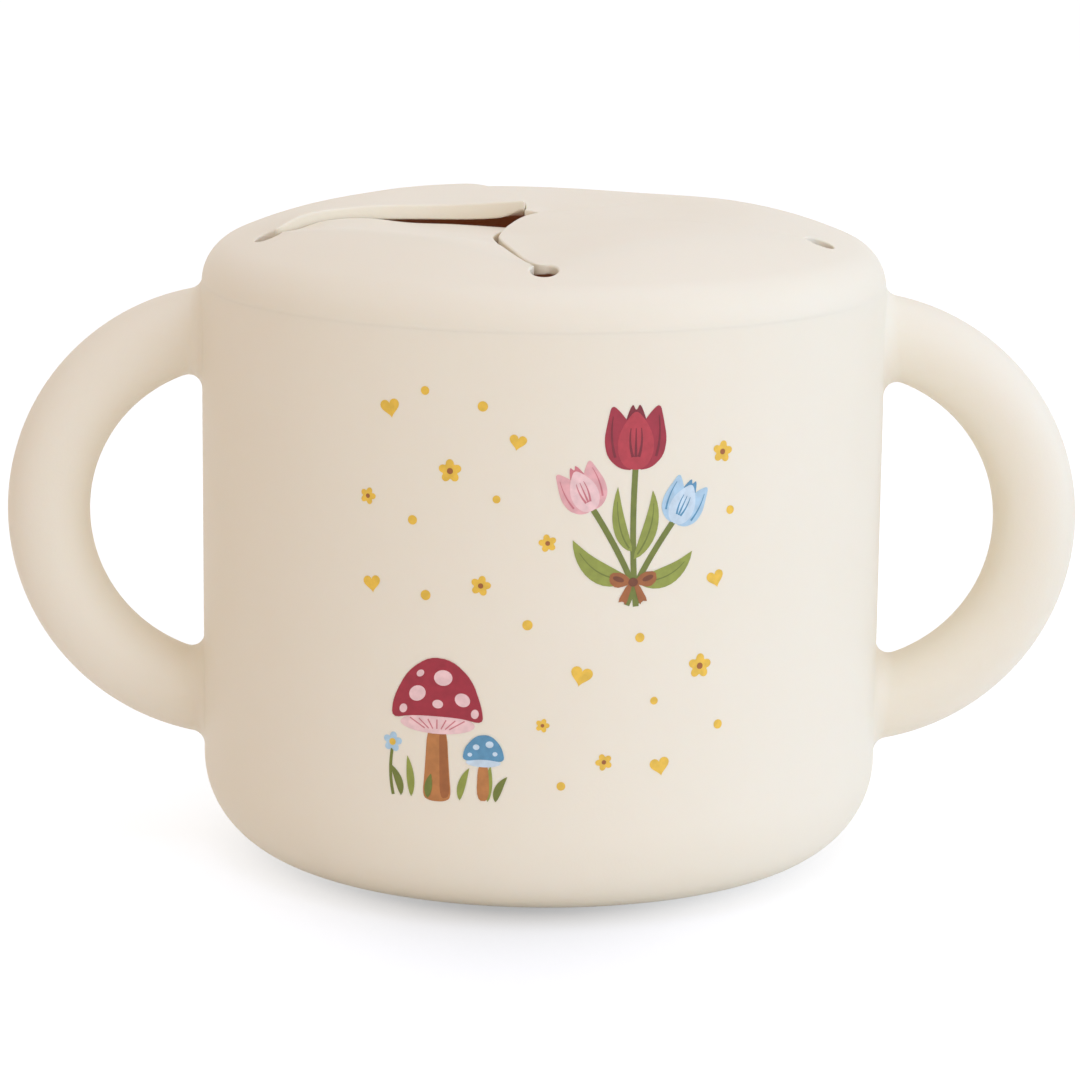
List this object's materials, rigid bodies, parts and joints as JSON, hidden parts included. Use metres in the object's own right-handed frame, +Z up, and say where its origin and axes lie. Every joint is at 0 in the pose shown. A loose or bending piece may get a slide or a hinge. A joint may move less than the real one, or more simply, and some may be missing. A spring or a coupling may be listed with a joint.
{
  "type": "toddler snack container",
  "caption": "Soft round snack cup with a loop handle on each side and a domed press-in lid cut by curved slits into springy flaps.",
  "frame": {"origin": "centre of the base, on the surface that the container stands on", "axes": "+Z up, +X to the right of the front, through the right handle, +Y to the back"},
  "size_m": [0.142, 0.09, 0.086],
  "materials": {
    "cup_silicone": "matte soft-touch cream silicone",
    "lid_silicone": "matte soft-touch cream silicone"
  },
  "bodies": {
    "cup": {"cup_body": "cup_silicone", "handle_left": "cup_silicone", "handle_right": "cup_silicone"},
    "lid": {"lid_ring": "lid_silicone"},
    "front_left_flap": {"flap_front_left": "lid_silicone"},
    "front_right_flap": {"flap_front_right": "lid_silicone"},
    "right_flap": {"flap_right": "lid_silicone"},
    "back_flap": {"flap_back": "lid_silicone"},
    "left_flap": {"flap_left": "lid_silicone"}
  },
  "joints": [
    {"name": "lid_lift", "type": "slide", "parent": "cup", "child": "lid", "axis": [0, 0, 1], "range_m": [0, 0.06]},
    {"name": "front_left_bend", "type": "hinge", "parent": "lid", "child": "front_left_flap", "pos_m": [-0.03301, -0.0084, 0.08359], "axis": [0.8087, -0.5875, 0.0299], "range_deg": [-47, 33], "stiffness_Nm_per_rad": 0.02},
    {"name": "front_right_bend", "type": "hinge", "parent": "lid", "child": "front_right_flap", "pos_m": [-0.00221, -0.03399, 0.08359], "axis": [0.8087, 0.5875, 0.0299], "range_deg": [-51, 29], "stiffness_Nm_per_rad": 0.02},
    {"name": "right_bend", "type": "hinge", "parent": "lid", "child": "right_flap", "pos_m": [0.03164, -0.01261, 0.08359], "axis": [-0.3089, 0.9506, 0.0299], "range_deg": [-55, 25], "stiffness_Nm_per_rad": 0.02},
    {"name": "back_bend", "type": "hinge", "parent": "lid", "child": "back_flap", "pos_m": [0.02177, 0.0262, 0.08359], "axis": [-0.9996, 0, 0.0299], "range_deg": [-52, 28], "stiffness_Nm_per_rad": 0.02},
    {"name": "left_bend", "type": "hinge", "parent": "lid", "child": "left_flap", "pos_m": [-0.01819, 0.0288, 0.08359], "axis": [-0.3089, -0.9506, 0.0299], "range_deg": [-55, 25], "stiffness_Nm_per_rad": 0.02}
  ]
}
